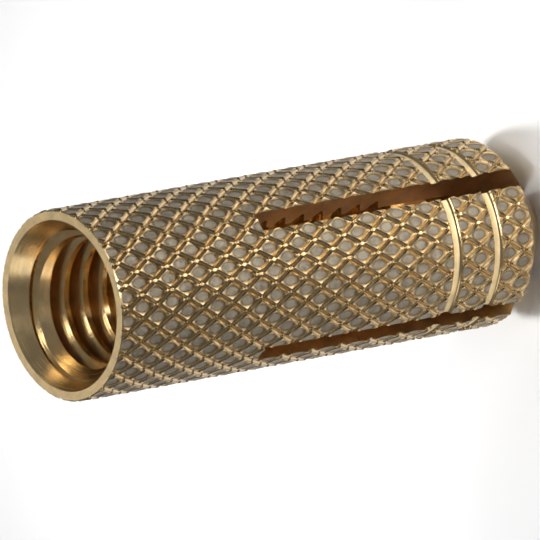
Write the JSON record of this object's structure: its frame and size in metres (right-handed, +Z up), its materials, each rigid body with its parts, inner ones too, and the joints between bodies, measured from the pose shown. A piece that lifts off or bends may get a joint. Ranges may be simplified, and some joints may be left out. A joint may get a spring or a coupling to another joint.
{
  "type": "expansion anchor",
  "caption": "Knurled brass expansion sleeve, tapped from a countersunk mouth and sawn crosswise through a conical nose, that a screw spreads in a drilled hole.",
  "frame": {"origin": "middle of the flat nose tip, on the axis", "axes": "+Z runs up the axis from the nose to the mouth; X and Y run along the two crossing saw cuts"},
  "size_m": [0.01, 0.01, 0.03],
  "materials": {
    "brass": "turned and knurled, slightly dull"
  },
  "bodies": {
    "root": {"anchor_sleeve": "brass"}
  },
  "joints": []
}
